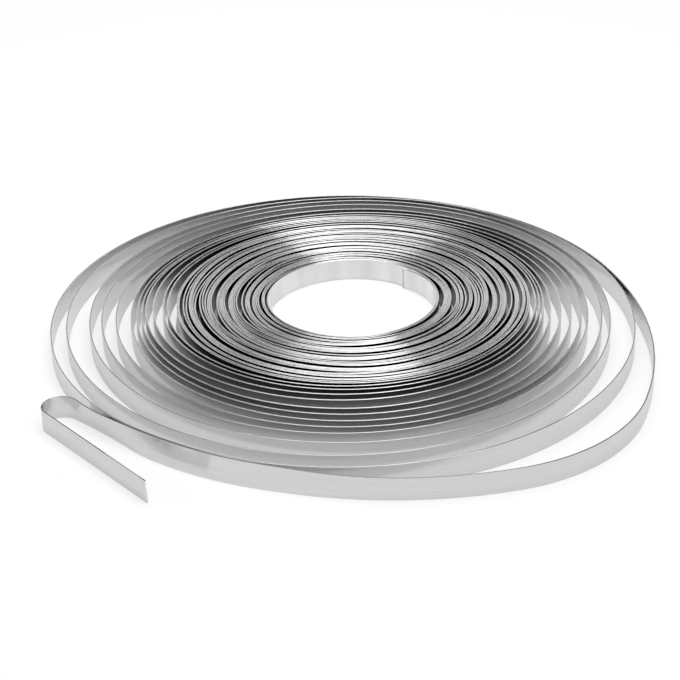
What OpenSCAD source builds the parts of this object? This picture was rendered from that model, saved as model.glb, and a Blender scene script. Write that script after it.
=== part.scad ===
// Coil of flat steel strip, lying flat with the strip standing on edge.
// A tight winding leaves an open bore, the outer turns have sprung loose,
// and the free outer end is folded back on itself beside the coil.
// The bore axis is Z and the coil rests on z = 0.

/* [Strip] */
// Width of the strip, which is the height of the coil
strip_w = 12.7; // [8:0.1:20]
// Thickness of the strip
strip_t = 0.76; // [0.5:0.02:0.86]

/* [Tight winding] */
// Diameter of the open bore
bore_d = 95; // [70:1:120]
// Number of turns that stay tight on each other
tight_turns = 36; // [34:1:46]
// Spacing of the tight turns, strip and air together
tight_pitch = 1.49; // [1.3:0.01:1.7]
// Width of the seams that show between groups of turns
seam_w = 0.5; // [0.3:0.05:0.7]
// Depth of those seams
seam_depth = 1.2; // [0.5:0.1:3]

/* [Free end] */
// Radius of the gentle curve that leads away from the coil
lead_r = 590; // [520:10:660]
// Angle of that curve
lead_sweep = 3.5; // [2.5:0.5:5]
// Radius of the fold, to the middle of the strip
fold_r = 9.5; // [7:0.5:12]
// Angle of the fold
fold_sweep = 177; // [170:1:182]
// Length of the straight leg behind the fold
leg_len = 89; // [50:1:110]

/* [Hidden] */
$fn = 72;
// Angle between the plan points of the loose turns, of the bends and of the fold
step = 7.5;
bend_step = 5;
fold_step = 17.5;

// Outer radius of the tight winding
tight_r = bore_d / 2 + tight_turns * tight_pitch;
// Turns after which a seam shows on the two ends
seam_turns = [3, 6, 10, 14, 18, 23, 28, 32];

// How far the middle of each loose turn stands off the tight winding,
// at the right, front, left and back; the first value is still inside the winding
loose = [
    [-1.0, 1.5, 4.0, 2.0],
    [2.5, 5.0, 6.5, 4.0],
    [4.5, 10.0, 12.0, 6.0],
    [6.5, 16.0, 16.0, 7.5],
    [10.0, 24.5, 18.0, 9.0],
    [15.5, 30.5, 20.5, 11.5],
    [21.0, 37.0, 23.5, 15.0],
    [26.5, 43.0, 32.0, 20.5],
    [30.0, 49.0, 40.0, 27.5],
    [37.5, 58.0, 46.5, 33.5],
    [41.5, 70.0, 59.0, 38.0],
];
// Stand-off at the right where the bends below take over from the loose turns
next_right = 55.5;
// The last turn and three quarters as bends, from the back of the coil on:
// how much larger than the tight winding the radius of each is
bend_extra = [48.5, 62.5, 57.5, 65, 57.5, 67, 126, 0, 111];
// Angle that each of those bends turns
bend_sweep = [28, 69.5, 85, 88, 87, 72, 40, 55.5, 58];

// One value per quarter turn, with one more at each end for the slope there
quarter = concat([loose[0][0]], [for (turn = loose) each turn], [next_right]);
quarters = len(quarter) - 3;

// Smooth curve from b to c that also heeds the values before and after, u from 0 to 1
function smooth(a, b, c, d, u) =
    b + u / 2 * (c - a + u * (2 * a - 5 * b + 4 * c - d + u * (3 * (b - c) + d - a)));

// Stand-off after q quarter turns
function stand_off(q) =
    let (k = min(floor(q), quarters - 1))
    smooth(quarter[k], quarter[k + 1], quarter[k + 2], quarter[k + 3], q - k);

// Plan point after q quarter turns, winding outward clockwise
function loose_point(q) = (tight_r + stand_off(q)) * [cos(90 * q), -sin(90 * q)];

// Point reached from p with heading h after turning by a along a bend of radius r, a > 0 to the right
function bend_point(p, h, r, a) = p + 2 * r * sin(abs(a) / 2) * [cos(h - a / 2), sin(h - a / 2)];

// Plan points along one bend, without its first point
function bend_points(p, h, r, a, fine) =
    let (n = ceil(abs(a) / fine))
    [for (i = [1:n]) bend_point(p, h, r, a * i / n)];

// Plan points along all bends from number i on, ending with the fold and the leg
function run_points(p, h, i = 0) =
    i < len(bend_extra)
    ? let (r = tight_r + bend_extra[i], a = bend_sweep[i])
      concat(bend_points(p, h, r, a, bend_step), run_points(bend_point(p, h, r, a), h - a, i + 1))
    : let (p1 = bend_point(p, h, lead_r, lead_sweep), h1 = h - lead_sweep,
           p2 = bend_point(p1, h1, fold_r, -fold_sweep), h2 = h1 + fold_sweep)
      concat(
          bend_points(p, h, lead_r, lead_sweep, bend_step),
          bend_points(p1, h1, fold_r, -fold_sweep, fold_step),
          [p2 + leg_len * [cos(h2), sin(h2)]]
      );

// Middle line of the loose strip in plan, from inside the winding to the free end
loose_line = [for (i = [0:quarters * 90 / step]) loose_point(i * step / 90)];
run_start = loose_line[len(loose_line) - 1];
// Heading where the bends begin, from the slope of the loose turns there
run_head = atan2((next_right - loose[len(loose) - 1][2]) / PI, norm(run_start));
mid_line = concat(loose_line, run_points(run_start, run_head));
ends = len(mid_line) - 1;

// Unit vector square to the middle line at point i, to the left of the winding direction
function square_to(i) =
    let (v = mid_line[min(i + 1, ends)] - mid_line[max(i - 1, 0)])
    [-v[1], v[0]] / norm(v);

// Outline of the loose strip in plan
strip_outline = concat(
    [for (i = [0:ends]) mid_line[i] + strip_t / 2 * square_to(i)],
    [for (i = [ends:-1:0]) mid_line[i] - strip_t / 2 * square_to(i)]
);

// Half section of the tight winding, with a seam cut into both ends after some turns
function seam(turn, z, way) =
    let (r = bore_d / 2 + turn * tight_pitch)
    [[r - way * seam_w / 2, z], [r, abs(z - seam_depth)], [r + way * seam_w / 2, z]];

winding_section = concat(
    [[bore_d / 2, 0]],
    [for (turn = seam_turns) each seam(turn, 0, 1)],
    [[tight_r, 0], [tight_r, strip_w]],
    [for (i = [len(seam_turns) - 1:-1:0]) each seam(seam_turns[i], strip_w, -1)],
    [[bore_d / 2, strip_w]]
);

module tight_winding() {
    rotate_extrude()
        polygon(winding_section);
}

module loose_turns() {
    linear_extrude(strip_w)
        polygon(strip_outline);
}

module steel_strip() {
    color([0.78, 0.79, 0.8])
        union() {
            tight_winding();
            loose_turns();
        }
}

steel_strip();
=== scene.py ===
# %% [markdown]
# # A coil of steel strip
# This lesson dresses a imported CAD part: a flat coil of bright steel strip that lies on a white table.
# The strip is one long ribbon standing on its edge. Near the open bore its turns sit tight on each
# other, further out they have sprung loose, and the free end is folded back beside the coil.
# The CAD solid gives the frame, and every object below is made in metres in that same frame. The
# strip itself is first laid out in millimetres, as on a drawing, with angles in degrees.

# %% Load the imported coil
import math
import random

import bpy
import numpy as np
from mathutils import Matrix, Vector


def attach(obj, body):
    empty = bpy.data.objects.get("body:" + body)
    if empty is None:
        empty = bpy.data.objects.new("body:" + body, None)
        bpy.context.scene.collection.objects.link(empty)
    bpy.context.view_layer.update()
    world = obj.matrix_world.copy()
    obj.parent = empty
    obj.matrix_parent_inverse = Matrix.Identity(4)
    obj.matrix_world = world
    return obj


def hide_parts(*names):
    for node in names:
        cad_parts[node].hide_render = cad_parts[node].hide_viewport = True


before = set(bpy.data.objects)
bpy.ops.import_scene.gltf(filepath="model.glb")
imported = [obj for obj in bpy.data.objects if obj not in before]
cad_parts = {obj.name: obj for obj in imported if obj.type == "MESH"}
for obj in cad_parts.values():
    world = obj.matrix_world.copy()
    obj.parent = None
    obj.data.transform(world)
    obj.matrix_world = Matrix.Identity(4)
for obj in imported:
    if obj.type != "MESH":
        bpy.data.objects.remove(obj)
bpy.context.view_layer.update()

MM = 0.001


# %% [markdown]
# ## The camera
# The photograph looks down at the coil from the front, from about a metre away and through a long
# lens, so the far side is only a little smaller than the near side. It also hangs a little crooked,
# which shows as a right side that stands higher. A camera could be aimed with a constraint, but a
# fixed place, tilt and roll are easier to compare with the photograph.

# %% Place the camera
CAMERA_PLACE = (-0.0077, -0.9596, 0.4994)
LOOK_DOWN = 28.2
ROLL = -1.36
LENS = 100
SENSOR = 36
# How far the camera sees, in metres
SIGHT = 20


def add_object(name, data):
    """New object with this data, linked to the scene."""
    made = bpy.data.objects.new(name, data)
    bpy.context.scene.collection.objects.link(made)
    return made


lens = bpy.data.cameras.new("camera")
lens.lens = LENS
lens.sensor_width = SENSOR
lens.clip_end = SIGHT
camera = add_object("camera", lens)
camera.location = CAMERA_PLACE
camera.rotation_mode = "ZYX"
camera.rotation_euler = (math.radians(90 - LOOK_DOWN), 0, math.radians(ROLL))
bpy.context.scene.camera = camera
print("camera", round(camera.location.length, 3), "m from the foot of the bore axis")

# %% [markdown]
# ## The tight winding
# Real strip is wound under tension, then the tension goes and the turns slacken unevenly. Groups of
# turns lie almost metal on metal, and between them the air opens in long thin lenses, which read as
# black arcs on the end of the coil. A plain spiral with one pitch is quick to make, but it would look
# like a record. Here the air outside each turn is drawn first, from a fixed seed so that every run
# gives the same coil, and then each turn is laid on the one before it. Scaling the air so that it
# adds up to the same at every angle keeps the winding round.

# %% Draw the air between the turns
STRIP_W = 12.7
STRIP_T = 0.76
BORE_D = 95
BORE_R = BORE_D / 2
TIGHT_TURNS = 36
TIGHT_PITCH = 1.49
TIGHT_R = BORE_R + TIGHT_TURNS * TIGHT_PITCH
# Plan angle of the strip's inner end, and sections in one turn
INNER_END = 49
TIGHT_STEPS = 108
# Shortest and longest lens, and rest between two lenses, in turns
LENS_TURNS = (0.25, 0.6)
REST_TURNS = (0.0, 0.25)
# Shares of air at a rest, and in the middle of a lens at least and beyond that
LEAST_AIR = 0.015
LEAST_LENS = 0.15
MORE_LENS = 1.8
# Turns over which the air runs out at the outer end
FADE_TURNS = 0.25
SEED = 5

rng = random.Random(SEED)
wound_turns = TIGHT_TURNS - 1 + INNER_END / 360
wound_steps = round(wound_turns * TIGHT_STEPS)


def lens_air(count):
    """Air outside each section of the winding: hardly any, then a lens, then hardly any again."""
    air, at = np.full(count, LEAST_AIR), REST_TURNS[1] * TIGHT_STEPS
    while at < count:
        length = TIGHT_STEPS * rng.uniform(*LENS_TURNS)
        inside = np.arange(math.ceil(at), min(int(at + length) + 1, count))
        opening = LEAST_LENS + MORE_LENS * rng.random() ** 2
        air[inside] += opening * np.sin(np.pi * (inside - at) / length) ** 2
        at += length + TIGHT_STEPS * rng.uniform(*REST_TURNS)
    fade = (count - np.arange(count)) / (FADE_TURNS * TIGHT_STEPS)
    return air * np.clip(fade, 0, 1)


drawn_air = lens_air(wound_steps + 1 - TIGHT_STEPS)
print("air drawn for", len(drawn_air), "sections, widest lens", round(float(drawn_air.max()), 2))

# %% Even out the air
EVEN_TURNS = 3
MOST_SHARE = 4


def evened(air):
    """The same air, scaled so that a few neighbouring turns hold about as much at every angle."""
    window = np.zeros(2 * EVEN_TURNS * TIGHT_STEPS + 1)
    window[::TIGHT_STEPS] = 1
    near = np.convolve(air, window, "same") / np.convolve(np.ones(len(air)), window, "same")
    return np.minimum(air / near, MOST_SHARE)


even_air = evened(drawn_air)
print("a lens holds up to", round(float(even_air.max()), 2), "times the air around it")

# %% Lay the tight turns
# Air that is left between two turns at least, and how far inside the winding the loose turns begin
LEAST_GAP = 0.06
LEAST_PITCH = STRIP_T + LEAST_GAP
TUCKED_IN = 1.0
LOOSE_START = TIGHT_R - TUCKED_IN
# Sections on each side over which kinks are smoothed away
EASE_STEPS = 6


def tight_radii(air, count, first, last):
    """Radius of the strip's middle line along the tight winding, from first to last."""
    radii = np.zeros(count + 1)
    radii[:TIGHT_STEPS] = first + LEAST_PITCH * np.arange(TIGHT_STEPS) / TIGHT_STEPS
    for start in range(TIGHT_STEPS):
        stack = np.arange(start, count + 1, TIGHT_STEPS)
        goal = last - LEAST_PITCH * (count - stack[-1]) / TIGHT_STEPS
        room = goal - radii[start] - LEAST_PITCH * (len(stack) - 1)
        closed = radii[start] + LEAST_PITCH * np.arange(1, len(stack))
        share = np.cumsum(air[stack[:-1]])
        radii[stack[1:]] = closed + room * share / share[-1]
    ease = np.hanning(2 * EASE_STEPS + 3)[1:-1]
    return np.convolve(np.pad(radii, EASE_STEPS, "edge"), ease / ease.sum(), "valid")


radii = tight_radii(even_air, wound_steps, BORE_R + STRIP_T / 2, LOOSE_START)
print("tight winding from", radii[0].round(1), "to", radii[-1].round(1), "mm off the axis")

# %% [markdown]
# ## The inner end
# The first few centimetres of the strip have nothing to hold them, so they straighten and stand off
# the wall of the bore. Bending that stretch with a modifier would take a rig for one short curve.
# Taking a little off the first radii, less and less along the strip, gives the same curve.

# %% Spring the inner end into the bore
SPRUNG_IN = 2
SPRUNG_STEPS = 13

radii[:SPRUNG_STEPS] -= SPRUNG_IN * (1 - np.arange(SPRUNG_STEPS) / SPRUNG_STEPS) ** 2
angles = np.radians(INNER_END - 360 * wound_turns * np.arange(len(radii)) / (len(radii) - 1))
tight_line = np.stack([radii * np.cos(angles), radii * np.sin(angles)], axis=1).tolist()
gaps = (radii[TIGHT_STEPS:] - radii[:-TIGHT_STEPS] - STRIP_T).round(2)
print(len(tight_line), "points on the tight winding, air from", gaps.min(), "to", gaps.max(), "mm")

# %% [markdown]
# ## The loose turns
# Past the tight winding the strip has sprung open, and each turn stands off at its own distance:
# far off at the front, close together at the back. Each turn could be an ellipse of its own, but then
# the turns wouldn't join. Four distances per turn, at the right, front, left and back, describe them
# well, and one smooth curve runs through all of these. They are the CAD solid's own values, so the
# ribbon lies where the solid lies.

# %% Lay the loose turns
LOOSE = [
    [-1.0, 1.5, 4.0, 2.0],
    [2.5, 5.0, 6.5, 4.0],
    [4.5, 10.0, 12.0, 6.0],
    [6.5, 16.0, 16.0, 7.5],
    [10.0, 24.5, 18.0, 9.0],
    [15.5, 30.5, 20.5, 11.5],
    [21.0, 37.0, 23.5, 15.0],
    [26.5, 43.0, 32.0, 20.5],
    [30.0, 49.0, 40.0, 27.5],
    [37.5, 58.0, 46.5, 33.5],
    [41.5, 70.0, 59.0, 38.0],
]
NEXT_RIGHT = 55.5
LOOSE_STEP = 3

quarter = [LOOSE[0][0]] + [value for turn in LOOSE for value in turn] + [NEXT_RIGHT]
quarters = len(quarter) - 3


def smooth(a, b, c, d, u):
    """Curve from b to c that also heeds the values before and after, u from 0 to 1."""
    return b + u / 2 * (c - a + u * (2 * a - 5 * b + 4 * c - d + u * (3 * (b - c) + d - a)))


def loose_point(angle):
    """Plan point of the loose strip after turning by an angle in degrees."""
    k = min(int(angle // 90), quarters - 1)
    r = TIGHT_R + smooth(*quarter[k:k + 4], angle / 90 - k)
    return (r * math.cos(math.radians(angle)), -r * math.sin(math.radians(angle)))


loose_line = [loose_point(angle) for angle in range(0, quarters * 90 + 1, LOOSE_STEP)]
print(len(loose_line), "points on the loose turns")

# %% [markdown]
# ## The outer run and the folded end
# The last turn and three quarters swings wide, and then the strip leaves the coil, makes a hairpin
# and ends in a straight leg. A curve could be drawn through points by hand, but spring steel bends
# in clean arcs. So this stretch is walked like a draughtsman's path: a radius and an angle for each
# bend, every one starting where the last one ended.

# %% Take one bend
def walk(place, heading, radius, angle, step):
    """Points along one bend, and the heading at its end; a positive angle turns right."""
    count = math.ceil(abs(angle) / step)
    points = []
    for i in range(1, count + 1):
        part = angle * i / count
        chord = 2 * radius * math.sin(math.radians(abs(part) / 2))
        way = math.radians(heading - part / 2)
        points.append((place[0] + chord * math.cos(way), place[1] + chord * math.sin(way)))
    return points, heading - angle


slope = (NEXT_RIGHT - LOOSE[-1][2]) / math.pi
run_heading = math.degrees(math.atan2(slope, TIGHT_R + LOOSE[-1][3]))
print("the outer run sets out at", round(run_heading, 1), "degrees")

# %% Walk the outer run
# Radius of each bend beyond that of the tight winding, and its angle
BEND_EXTRA = [48.5, 62.5, 57.5, 65, 57.5, 67, 126, 0, 111]
BEND_ANGLES = [28, 69.5, 85, 88, 87, 72, 40, 55.5, 58]
# Radius and angle of the lead away from the coil and of the hairpin, then the leg
LEAD = (590, 3.5)
LEAD_STEP = 1
FOLD = (9.5, -177)
FOLD_STEP = 4
LEG = 89
LEG_SHARES = (0.05, 0.5, 1)


def outer_run(place, heading):
    """Points of the outer run from the back of the coil to the free end."""
    bends = [(TIGHT_R + r, a, LOOSE_STEP) for r, a in zip(BEND_EXTRA, BEND_ANGLES)]
    points = []
    for radius, angle, step in bends + [(*LEAD, LEAD_STEP), (*FOLD, FOLD_STEP)]:
        more, heading = walk(place, heading, radius, angle, step)
        points += more
        place = points[-1]
    way = math.radians(heading)
    for share in LEG_SHARES:
        reach = share * LEG
        points.append((place[0] + reach * math.cos(way), place[1] + reach * math.sin(way)))
    return points


run_line = outer_run(loose_line[-1], run_heading)
plan = np.array(tight_line[:-1] + loose_line + run_line)
along = np.concatenate([[0], np.cumsum(np.hypot(*np.diff(plan, axis=0).T))])
print("strip length", round(along[-1] * MM, 2), "m in", len(plan), "sections")

# %% [markdown]
# ## The section of the strip
# The strip was slit from a wide sheet and its edges were rolled soft, so they are rounded and catch
# the light as fine bright lines. A curve object with a bevel could sweep such a section, but then
# every section would be alike, and further on some of them have to lean. Here the section is swept by
# hand: for every plan point one ring of corners is placed square to the line.

# %% Draw the section
EDGE_R = 0.24
CORNER_ANGLES = (0, 45, 90)


def strip_section():
    """Corners of the strip's section as (outward, up) in mm, anticlockwise from the outer face."""
    half, ring = STRIP_T / 2 - EDGE_R, []
    for quadrant, (side, top) in enumerate([(1, 1), (-1, 1), (-1, -1), (1, -1)]):
        middle_up = STRIP_W - EDGE_R if top > 0 else EDGE_R
        for corner in CORNER_ANGLES:
            turn = math.radians(corner + 90 * quadrant)
            out = side * half + EDGE_R * math.cos(turn)
            ring.append((out, middle_up + EDGE_R * math.sin(turn)))
    return np.array(ring)


def square_to(line):
    """Unit vectors square to a plan line, on the outer side of a line that winds clockwise."""
    run = np.gradient(line, axis=0)
    run /= np.linalg.norm(run, axis=1)[:, None]
    return np.stack([-run[:, 1], run[:, 0]], axis=1)


ring = strip_section()
outward = square_to(plan)
print("section of", len(ring), "corners,", np.ptp(ring, axis=0).round(2), "mm")

# %% [markdown]
# ## Small irregularities
# No coil lies perfectly even. The turns of the tight winding sit a hair higher or lower than their
# neighbours, which breaks up the glare on the end of the coil. Close to the fold the strip is also
# twisted: its top leans in towards the next turn, which gives way a little, and its foot swings out.
# Sculpting could do this by eye. Offsets added to the rings are numbers that can be checked, so that
# the turns don't cut into each other.

# %% Lift the turns
LIFT = 0.15
LIFT_STEP = 40
# Share of that lift on the loose turns
LOOSE_LIFT = 0.3


def wander(count, steps):
    """Smooth random line of count values about 0 to 1, with a drawn knot every few steps."""
    knots = [rng.random() for _ in range(count // steps + 5)]
    line = []
    for i in range(count):
        k, u = divmod(i / steps, 1)
        line.append(smooth(*knots[int(k):int(k) + 4], u))
    return line


lift = np.array(wander(len(plan), LIFT_STEP)).clip(0, 1)
tight = np.arange(len(plan)) < len(tight_line)
lift = LIFT * lift * np.where(tight, 1, LOOSE_LIFT)
print("lift up to", round(float(lift.max()), 2), "mm")

# %% Twist the strip near the fold
# Plan angle of the first knot, and from knot to knot
TWIST_ANGLE = 216
TWIST_STEP = 6
# Stretches of the strip, measured from its free end, with the offsets at their knots
TAIL = (119, 330)
TAIL_TOP_IN = [0, 0, -1.0, 0.3, 1.2, 1.7, 1.8, 2.3, 2.5, 1.5, 0.5, 0, 0]
TAIL_FOOT_OUT = [0, 0, -1.0, -0.6, 1.2, 1.4, 1.3, 0.8, 0.2, 0, 0, 0, 0]
NEXT_TURN = (1170, 1400)
NEXT_TOP_IN = [0, 0, 0, 0, 0.75, 1.0, 0.4, 0, 0, 0, 0, 0, 0]

to_end = along[-1] - along
plan_angle = np.degrees(np.arctan2(plan[:, 1], plan[:, 0])) % 360


def twist(knots, stretch):
    """Smooth values through knots spaced evenly over plan angles, on one stretch of the strip."""
    values = np.zeros(len(plan))
    for i in np.flatnonzero((to_end > stretch[0]) & (to_end < stretch[1])):
        k, u = divmod((plan_angle[i] - TWIST_ANGLE) / TWIST_STEP, 1)
        if 0 <= k < len(knots) - 3:
            values[i] = smooth(*knots[int(k):int(k) + 4], u)
    return values


top_in = twist(TAIL_TOP_IN, TAIL) + twist(NEXT_TOP_IN, NEXT_TURN)
foot_out = twist(TAIL_FOOT_OUT, TAIL)
print("twist up to", round(float((top_in + foot_out).max()), 2), "mm")

# %% Set the rings in place
up_share = ring[:, 1] / STRIP_W
push = ring[:, 0] + foot_out[:, None] * (1 - up_share) - top_in[:, None] * up_share
flat = plan[:, None, :] + outward[:, None, :] * push[:, :, None]
height = ring[:, 1] + lift[:, None]
corners = np.concatenate([flat, height[:, :, None]], axis=2) * MM
print(corners.shape[0], "rings of", corners.shape[1], "corners")

# %% [markdown]
# ## One closed ribbon
# The strip is one piece from end to end, so it becomes one mesh: neighbouring rings are joined with
# four-sided faces, and the two cut ends are closed. A skin or screw modifier would do this unseen,
# but then the UV map would have to be unwrapped. Here the mesh is unrolled by the lengths that are
# known anyway, so that the finish can follow the strip in real metres.

# %% Join the rings
def ribbon_mesh(name, corners):
    """Mesh of a swept ring of corners, closed at both ends."""
    sections, n = corners.shape[:2]
    first = np.arange((sections - 1) * n).reshape(sections - 1, n)
    next_corner = np.roll(first, -1, axis=1)
    quads = np.stack([first, next_corner, next_corner + n, first + n], axis=2).reshape(-1, 4)
    ends = [list(range(n - 1, -1, -1)), list(range((sections - 1) * n, sections * n))]
    mesh = bpy.data.meshes.new(name)
    mesh.from_pydata(corners.reshape(-1, 3).tolist(), [], quads.tolist() + ends)
    return mesh


strip_mesh = ribbon_mesh("strip", corners)
print(len(strip_mesh.polygons), "faces on the strip")

# %% Unroll the strip
UV_NAME = "strip"


def unroll(mesh, along, ring):
    """UV map in metres, with U along the strip and V around its section."""
    sections, n = len(along), len(ring)
    sides = np.linalg.norm(np.roll(ring, -1, axis=0) - ring, axis=1)
    girth = np.concatenate([[0], np.cumsum(sides)])
    u = np.repeat(along, n).reshape(sections, n)
    u_quads = np.stack([u[:-1], u[:-1], u[1:], u[1:]], axis=2).reshape(-1)
    v_ring = np.stack([girth[:-1], girth[1:], girth[1:], girth[:-1]], axis=1)
    uv = np.zeros((len(mesh.loops), 2))
    uv[:len(u_quads), 0] = u_quads * MM
    uv[:len(u_quads), 1] = np.tile(v_ring, (sections - 1, 1)).reshape(-1) * MM
    mesh.uv_layers.new(name=UV_NAME).data.foreach_set("uv", uv.reshape(-1))
    return girth[-1]


girth_mm = unroll(strip_mesh, along, ring)
print("unrolled", round(girth_mm, 1), "mm around the section")

# %% Shade the edges round and seat the strip
# Corners of the ring where the outer and the inner face begin and end
FACE_CORNERS = (0, 5, 6, 11)


def shade_round(mesh, n):
    """Smooth shading that breaks where a flat face meets the rounded edge."""
    pairs = np.zeros(len(mesh.edges) * 2, dtype=int)
    mesh.edges.foreach_get("vertices", pairs)
    pairs = pairs.reshape(-1, 2) % n
    sharp = np.isin(pairs[:, 0], FACE_CORNERS) & (pairs[:, 0] == pairs[:, 1])
    mesh.attributes.new("sharp_edge", "BOOLEAN", "EDGE").data.foreach_set("value", sharp)
    mesh.polygons.foreach_set("use_smooth", [True] * len(mesh.polygons))
    mesh.update()
    return int(sharp.sum())


sharp_edges = shade_round(strip_mesh, len(ring))
strip = add_object("strip", strip_mesh)
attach(strip, "root")
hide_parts("steel_strip")
print(sharp_edges, "sharp edges between the faces and the rounded edges of", strip.name)

# %% [markdown]
# ## Tools for the finish
# The steel, the table and the room around them are each a graph of small nodes. They could be wired
# by hand in the shader editor. In a script a few helpers keep the wiring short: each makes one kind
# of node, and gives each of its inputs either a plain value or the output of another node.

# %% Wire nodes
def add_node(tree, kind, inputs=(), operation=None):
    """New shader node; each input gets a value or another node's output."""
    made = tree.nodes.new("ShaderNode" + kind)
    if operation:
        made.operation = operation
    for key, value in dict(inputs).items():
        if isinstance(value, bpy.types.NodeSocket):
            tree.links.new(value, made.inputs[key])
        else:
            made.inputs[key].default_value = value
    return made


def reckon(tree, operation, *values, clamp=False):
    """Sum, product or other result of values and outputs."""
    made = add_node(tree, "Math", enumerate(values), operation)
    made.use_clamp = clamp
    return made.outputs[0]


def grey(level):
    """Colour of one level of grey."""
    return (level, level, level, 1)


def ramp(tree, value, stops):
    """Colour that follows a value, from stops that give a value and the colour there."""
    made = add_node(tree, "ValToRGB", {"Fac": value})
    row = made.color_ramp.elements
    for i, (spot, color) in enumerate(stops):
        stop = row[i] if i < 2 else row.new(spot)
        stop.position = spot
        stop.color = color
    return made.outputs["Color"]


print("node helpers:", [helper.__name__ for helper in (add_node, reckon, grey, ramp)])

# %% [markdown]
# ## Where the finish changes
# One strip, but not one colour. Inside the winding the faces are darkened, a painted shade for the
# deep gaps between the turns, which runs out over the loose turns. On the wall of the bore they carry
# soft bright bands, a painted sheen. The slit edges are painted darker than the faces, a painted shade
# deepest at the free end. Separate materials would leave hard borders. The UV map holds the length
# along the strip, so one material can fade between them.

# %% Follow the strip
# Height in metres above which the colour is the painted shade of the slit edge
FACE_TOP = 0.01256
# Length of strip in the tight winding and in all, and stops along it
WOUND = along[len(tight_line)] * MM
LENGTH = along[-1] * MM
# Painted shade: how far along the strip the faces are darkened, so that the gaps between the turns read
# dark
SHADE_IN_WINDING = [(0, 0), (0.45, 0), (0.6, 1), (WOUND - 0.6, 1), (WOUND, 0.65), (WOUND + 7.5, 0)]
# Painted sheen: where bright bands lie on the wall of the bore, along the strip
BORE_WALL_SHEEN = [(0, 1), (0.3, 1), (0.5, 0)]
# Painted shade on the slit edges, darker on the loose turns and darkest at the free end
EDGE_SHADE = [
    (0, 0.66), (WOUND + 2.5, 0.66), (WOUND + 6, 0.42),
    (LENGTH - 0.7, 0.42), (LENGTH - 0.45, 0.2),
]


def along_strip(tree, place, stops):
    """Value that changes along the strip, from stops that give a length in metres and the value."""
    split = add_node(tree, "SeparateXYZ", {"Vector": place})
    share = reckon(tree, "DIVIDE", split.outputs["X"], LENGTH)
    return ramp(tree, share, [(spot / LENGTH, grey(value)) for spot, value in stops])


def face_share(tree):
    """1 on the faces of the strip and 0 on its upper edge."""
    place = add_node(tree, "TexCoord")
    split = add_node(tree, "SeparateXYZ", {"Vector": place.outputs["Object"]})
    return reckon(tree, "LESS_THAN", split.outputs["Z"], FACE_TOP)


print("strip of", round(LENGTH, 1), "m,", round(WOUND, 1), "m of it wound tight")

# %% [markdown]
# ## Rolled steel
# Bright rolled strip is a mirror that has been scratched in one direction: fine lines from the rolls
# run along it, so reflections smear across the strip but stay crisp along it. A picture of brushed
# metal could be laid on it, but would repeat over so long a strip. An anisotropic metal shader does
# the smear, with its direction taken from the UV map, and stretched noise adds the lines, a little
# unevenness in the gloss and the faint waves that a coil keeps from being wound.

# %% Draw the noises
NOISE_RANGE = (0.3, 0.7)
# Scale along and across the strip, and detail
LINES = ((8, 3500), 3)
CLOUDS = ((25, 60), 4)
WAVES = ((35, 3), 2)
BANDS = ((60, 1), 1)


def noise(tree, place, scale, detail):
    """Noise over the strip, stretched by a scale along it and one across it."""
    stretch = add_node(tree, "Mapping", {"Vector": place, "Scale": (*scale, 1)})
    wanted = {"Vector": stretch.outputs["Vector"], "Scale": 1, "Detail": detail}
    return add_node(tree, "TexNoise", wanted).outputs["Fac"]


def between(tree, value, low, high):
    """Maps a noise value to a range."""
    spread = {"From Min": NOISE_RANGE[0], "From Max": NOISE_RANGE[1], "To Min": low, "To Max": high}
    return add_node(tree, "MapRange", {"Value": value, **spread}).outputs["Result"]


print("a roll line is about", round(1 / LINES[0][1] / MM, 2), "mm wide")

# %% Mix the colour and the relief
STEEL_TINT = [(0.35, (0.74, 0.74, 0.74, 1)), (0.65, (0.81, 0.81, 0.805, 1))]
# Colour of the painted sheen on the wall of the bore
PAINTED_SHEEN = (0.97, 0.97, 0.965, 1)
# Colour of the painted shade on the faces inside the winding
GAP_SHADE_GREY = 0.08
WAVE_HEIGHT = 0.0004
LINE_HEIGHT = 0.000002


def blend(tree, share, first, second):
    """Colour between two others."""
    made = add_node(tree, "MixRGB", {"Fac": share, "Color1": first, "Color2": second})
    return made.outputs["Color"]


def steel_color(tree, place, lines):
    """Fine lines, a painted sheen in bands on the wall of the bore, and painted shade in the winding
    and on the edges.
    """
    bands = between(tree, noise(tree, place, *BANDS), 0, 1)
    # Painted sheen in bands on the wall of the bore
    sheen_bands = reckon(tree, "MULTIPLY", bands, along_strip(tree, place, BORE_WALL_SHEEN))
    sheened = blend(tree, sheen_bands, ramp(tree, lines, STEEL_TINT), PAINTED_SHEEN)
    # Painted shade: the faces inside the winding are darkened towards a dark grey
    gap_shaded = blend(tree, along_strip(tree, place, SHADE_IN_WINDING), sheened, grey(GAP_SHADE_GREY))
    # Painted shade on the slit edges above the faces
    return blend(tree, face_share(tree), along_strip(tree, place, EDGE_SHADE), gap_shaded)


def steel_relief(tree, place, lines):
    """Waves of the wound strip with the fine lines over them, each of a real height in metres."""
    waves = {"Strength": 1, "Distance": WAVE_HEIGHT, "Height": noise(tree, place, *WAVES)}
    wavy = add_node(tree, "Bump", waves).outputs["Normal"]
    scratches = {"Strength": 1, "Distance": LINE_HEIGHT, "Height": lines, "Normal": wavy}
    return add_node(tree, "Bump", scratches).outputs["Normal"]


print("waves of", round(WAVE_HEIGHT / MM, 3), "mm under lines of", round(LINE_HEIGHT / MM, 3), "mm")

# %% Mix the steel
ROUGHNESS = (0.1, 0.17)
ANISOTROPY = 0.5
ACROSS = 0.25


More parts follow.
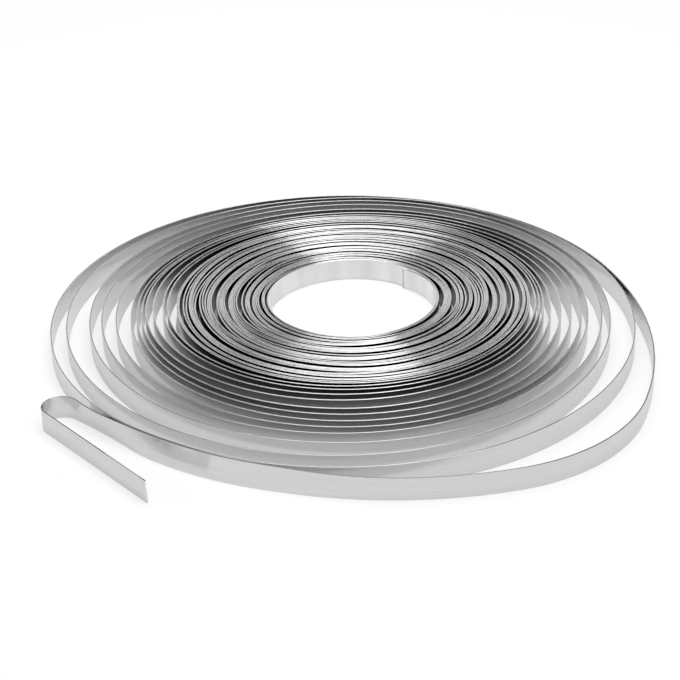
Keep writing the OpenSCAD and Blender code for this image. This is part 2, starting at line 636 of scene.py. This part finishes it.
def steel_material():
    """Bright rolled steel with lines along the strip, waves across it and uneven gloss."""
    material = bpy.data.materials.new("rolled_steel")
    material.use_nodes = True
    tree = material.node_tree
    shader = tree.nodes["Principled BSDF"]
    shader.inputs["Metallic"].default_value = 1
    shader.inputs["Anisotropic"].default_value = ANISOTROPY
    shader.inputs["Anisotropic Rotation"].default_value = ACROSS

    grain = add_node(tree, "Tangent")
    grain.direction_type = "UV_MAP"
    grain.uv_map = UV_NAME
    tree.links.new(grain.outputs["Tangent"], shader.inputs["Tangent"])

    strip_map = add_node(tree, "UVMap")
    strip_map.uv_map = UV_NAME
    place = strip_map.outputs["UV"]
    lines = noise(tree, place, *LINES)
    gloss = between(tree, noise(tree, place, *CLOUDS), *ROUGHNESS)
    tree.links.new(steel_color(tree, place, lines), shader.inputs["Base Color"])
    tree.links.new(gloss, shader.inputs["Roughness"])
    tree.links.new(steel_relief(tree, place, lines), shader.inputs["Normal"])
    return material


strip.data.materials.append(steel_material())
print(strip.data.materials[0].name, "laid on", strip.name)

# %% [markdown]
# ## The white table
# The photograph is a catalogue picture on pure white. More light would wash the coil out along with
# the table. Instead the floor glows a little of its own, only for the camera and for reflections, so
# it shows clean white while the coil's shadow still falls on it. Under the tight winding hardly any
# light arrives, so there it doesn't glow, and the gaps between the turns stay dark.

# %% Lay the floor
FLOOR_SIZE = 6
FLOOR_PAINT = 0.87
FLOOR_GLOW = 0.7
MIRROR_GLOW = 0.72


def covered_floor(tree):
    """1 on the ring of floor under the tight winding and 0 elsewhere."""
    place = add_node(tree, "TexCoord")
    away = add_node(tree, "VectorMath", {0: place.outputs["Object"]}, "LENGTH")
    middle, reach = (TIGHT_R + BORE_R) / 2 * MM, (TIGHT_R - BORE_R) / 2 * MM
    return reckon(tree, "COMPARE", away.outputs["Value"], middle, reach)


def floor_material():
    """White paint, with a glow that the camera and reflections see."""
    material = bpy.data.materials.new("white_floor")
    material.use_nodes = True
    tree = material.node_tree
    tree.nodes.clear()
    rays = add_node(tree, "LightPath")
    camera_ray, glossy_ray = rays.outputs["Is Camera Ray"], rays.outputs["Is Glossy Ray"]
    bright = add_node(tree, "MapRange", {"Value": camera_ray, "To Min": MIRROR_GLOW})
    seen = reckon(tree, "MAXIMUM", camera_ray, glossy_ray)
    free = reckon(tree, "SUBTRACT", seen, covered_floor(tree), clamp=True)
    share = reckon(tree, "MULTIPLY", free, FLOOR_GLOW)

    paint = add_node(tree, "BsdfDiffuse", {"Color": grey(FLOOR_PAINT)}).outputs["BSDF"]
    shine = {"Color": grey(1), "Strength": bright.outputs["Result"]}
    glow = add_node(tree, "Emission", shine).outputs["Emission"]
    mix = add_node(tree, "MixShader", {"Fac": share, 1: paint, 2: glow})
    add_node(tree, "OutputMaterial", {"Surface": mix.outputs["Shader"]})
    return material


half = FLOOR_SIZE / 2
floor_corners = [(-half, -half, 0), (half, -half, 0), (half, half, 0), (-half, half, 0)]
floor_mesh = bpy.data.meshes.new("floor")
floor_mesh.from_pydata(floor_corners, [], [(0, 1, 2, 3)])
floor_mesh.materials.append(floor_material())
floor = add_object("floor", floor_mesh)
print("floor of", FLOOR_SIZE, "m")

# %% [markdown]
# ## Lamp and room
# A rounded edge only glares where it can mirror a light, and the coil glares at its front and back
# and not at its sides. Several lamps around it would spread that glare over the whole ring. One wide
# lamp overhead puts it where it belongs. The rest of the light comes from the room, because a mirror
# shows whatever stands around it: even and pale in front, a bright backdrop low behind, a dim ceiling.

# %% Hang the lamp
LAMP_PLACE = (0.09, 0.08, 1.1)
LAMP_SIZE = (1.22, 0.5)
LAMP_POWER = 9

light = bpy.data.lights.new("overhead", "AREA")
light.shape = "RECTANGLE"
light.size, light.size_y = LAMP_SIZE
light.energy = LAMP_POWER
lamp = add_object("overhead", light)
lamp.location = LAMP_PLACE
to_coil = Vector((0, 0, 0)) - Vector(LAMP_PLACE)
lamp.rotation_euler = to_coil.to_track_quat("-Z", "Y").to_euler()
print("lamp", lamp.name, "at", round(to_coil.length, 2), "m from the coil")

# %% Light the room
BACKDROP = 1.9
ROOM = 0.95
CEILING = 0.15
# Where the light changes, up and from front to back, as parts of a direction of length 1
BACKDROP_TOP = 0.31
CEILING_EDGE = 0.46
FRONT = -0.2
BACK = 0.1


def studio_world():
    """Even room in front, and behind it a bright backdrop low down under a dim ceiling."""
    world = bpy.data.worlds.new("studio")
    world.use_nodes = True
    tree = world.node_tree
    place = add_node(tree, "TexCoord")
    split = add_node(tree, "SeparateXYZ", {"Vector": place.outputs["Generated"]})
    stops = [(BACKDROP_TOP, grey(BACKDROP)), (CEILING_EDGE, grey(CEILING))]
    behind = ramp(tree, split.outputs["Z"], stops)
    turn = {"Value": split.outputs["Y"], "From Min": FRONT, "From Max": BACK}
    side = add_node(tree, "MapRange", turn).outputs["Result"]
    around = blend(tree, side, grey(ROOM), behind)
    tree.links.new(around, tree.nodes["Background"].inputs["Color"])
    return world


bpy.context.scene.world = studio_world()
bpy.context.scene.view_settings.view_transform = "Standard"
print("room with a backdrop", round(BACKDROP / ROOM, 1), "times as bright as its front")
